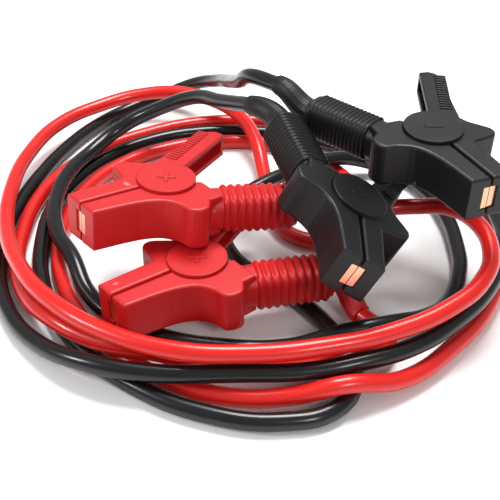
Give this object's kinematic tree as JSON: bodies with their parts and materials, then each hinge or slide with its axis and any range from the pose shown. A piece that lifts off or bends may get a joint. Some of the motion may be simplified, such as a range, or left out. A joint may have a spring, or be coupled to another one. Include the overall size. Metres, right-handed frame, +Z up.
{
  "type": "car jumper cable set",
  "caption": "Coiled jumper cable set for a car battery: a red and a black cable with a sprung, fully insulated clamp at each end.",
  "frame": {"origin": "on the level floor the coil lies on, below the middle of the box around the four clamps and their sleeves", "axes": "+Z up, -Y towards the viewer of the picture, +X to the right in the picture"},
  "size_m": [0.3442, 0.3743, 0.1035],
  "materials": {
    "red_shell": "satin moulded plastic",
    "black_shell": "satin moulded plastic",
    "red_rubber": "smooth soft sleeve",
    "black_rubber": "smooth soft sleeve",
    "copper": "bare copper plate, satin",
    "steel": "plain",
    "red_sheath": "glossy soft PVC",
    "black_sheath": "glossy soft PVC"
  },
  "bodies": {
    "coil": {"red_cable": "red_sheath", "black_cable": "black_sheath", "red_lower_main_half": "red_shell", "red_lower_main_copper": "copper", "red_lower_pivot_pin": "steel", "red_lower_spring": "steel", "red_lower_boot": "red_rubber", "red_upper_main_half": "red_shell", "red_upper_main_copper": "copper", "red_upper_pivot_pin": "steel", "red_upper_spring": "steel", "red_upper_boot": "red_rubber", "black_lower_main_half": "black_shell", "black_lower_main_copper": "copper", "black_lower_pivot_pin": "steel", "black_lower_spring": "steel", "black_lower_boot": "black_rubber", "black_upper_main_half": "black_shell", "black_upper_main_copper": "copper", "black_upper_pivot_pin": "steel", "black_upper_spring": "steel", "black_upper_boot": "black_rubber"},
    "red_lower_lever": {"red_lower_lever_half": "red_shell", "red_lower_lever_copper": "copper"},
    "red_upper_lever": {"red_upper_lever_half": "red_shell", "red_upper_lever_copper": "copper"},
    "black_lower_lever": {"black_lower_lever_half": "black_shell", "black_lower_lever_copper": "copper"},
    "black_upper_lever": {"black_upper_lever_half": "black_shell", "black_upper_lever_copper": "copper"}
  },
  "joints": [
    {"name": "red_lower_jaw", "type": "hinge", "parent": "coil", "child": "red_lower_lever", "pos_m": [-0.0504, -0.0417, 0.0268], "axis": [0, 0, -1], "range_deg": [0, 18], "stiffness_Nm_per_rad": 1.5, "springref_deg": -20.05},
    {"name": "red_upper_jaw", "type": "hinge", "parent": "coil", "child": "red_upper_lever", "pos_m": [-0.0709, -0.0032, 0.0576], "axis": [-0.0714, -0.05, -0.9962], "range_deg": [0, 28], "stiffness_Nm_per_rad": 1.5, "springref_deg": -20.05},
    {"name": "black_lower_jaw", "type": "hinge", "parent": "coil", "child": "black_lower_lever", "pos_m": [0.0376, -0.0262, 0.0624], "axis": [0.4526, -0.0469, 0.8905], "range_deg": [0, 22], "stiffness_Nm_per_rad": 1.5, "springref_deg": -20.05},
    {"name": "black_upper_jaw", "type": "hinge", "parent": "coil", "child": "black_upper_lever", "pos_m": [0.0896, 0.0108, 0.085], "axis": [0.0153, -0.0314, 0.9994], "range_deg": [0, 28], "stiffness_Nm_per_rad": 1.5, "springref_deg": -20.05}
  ]
}
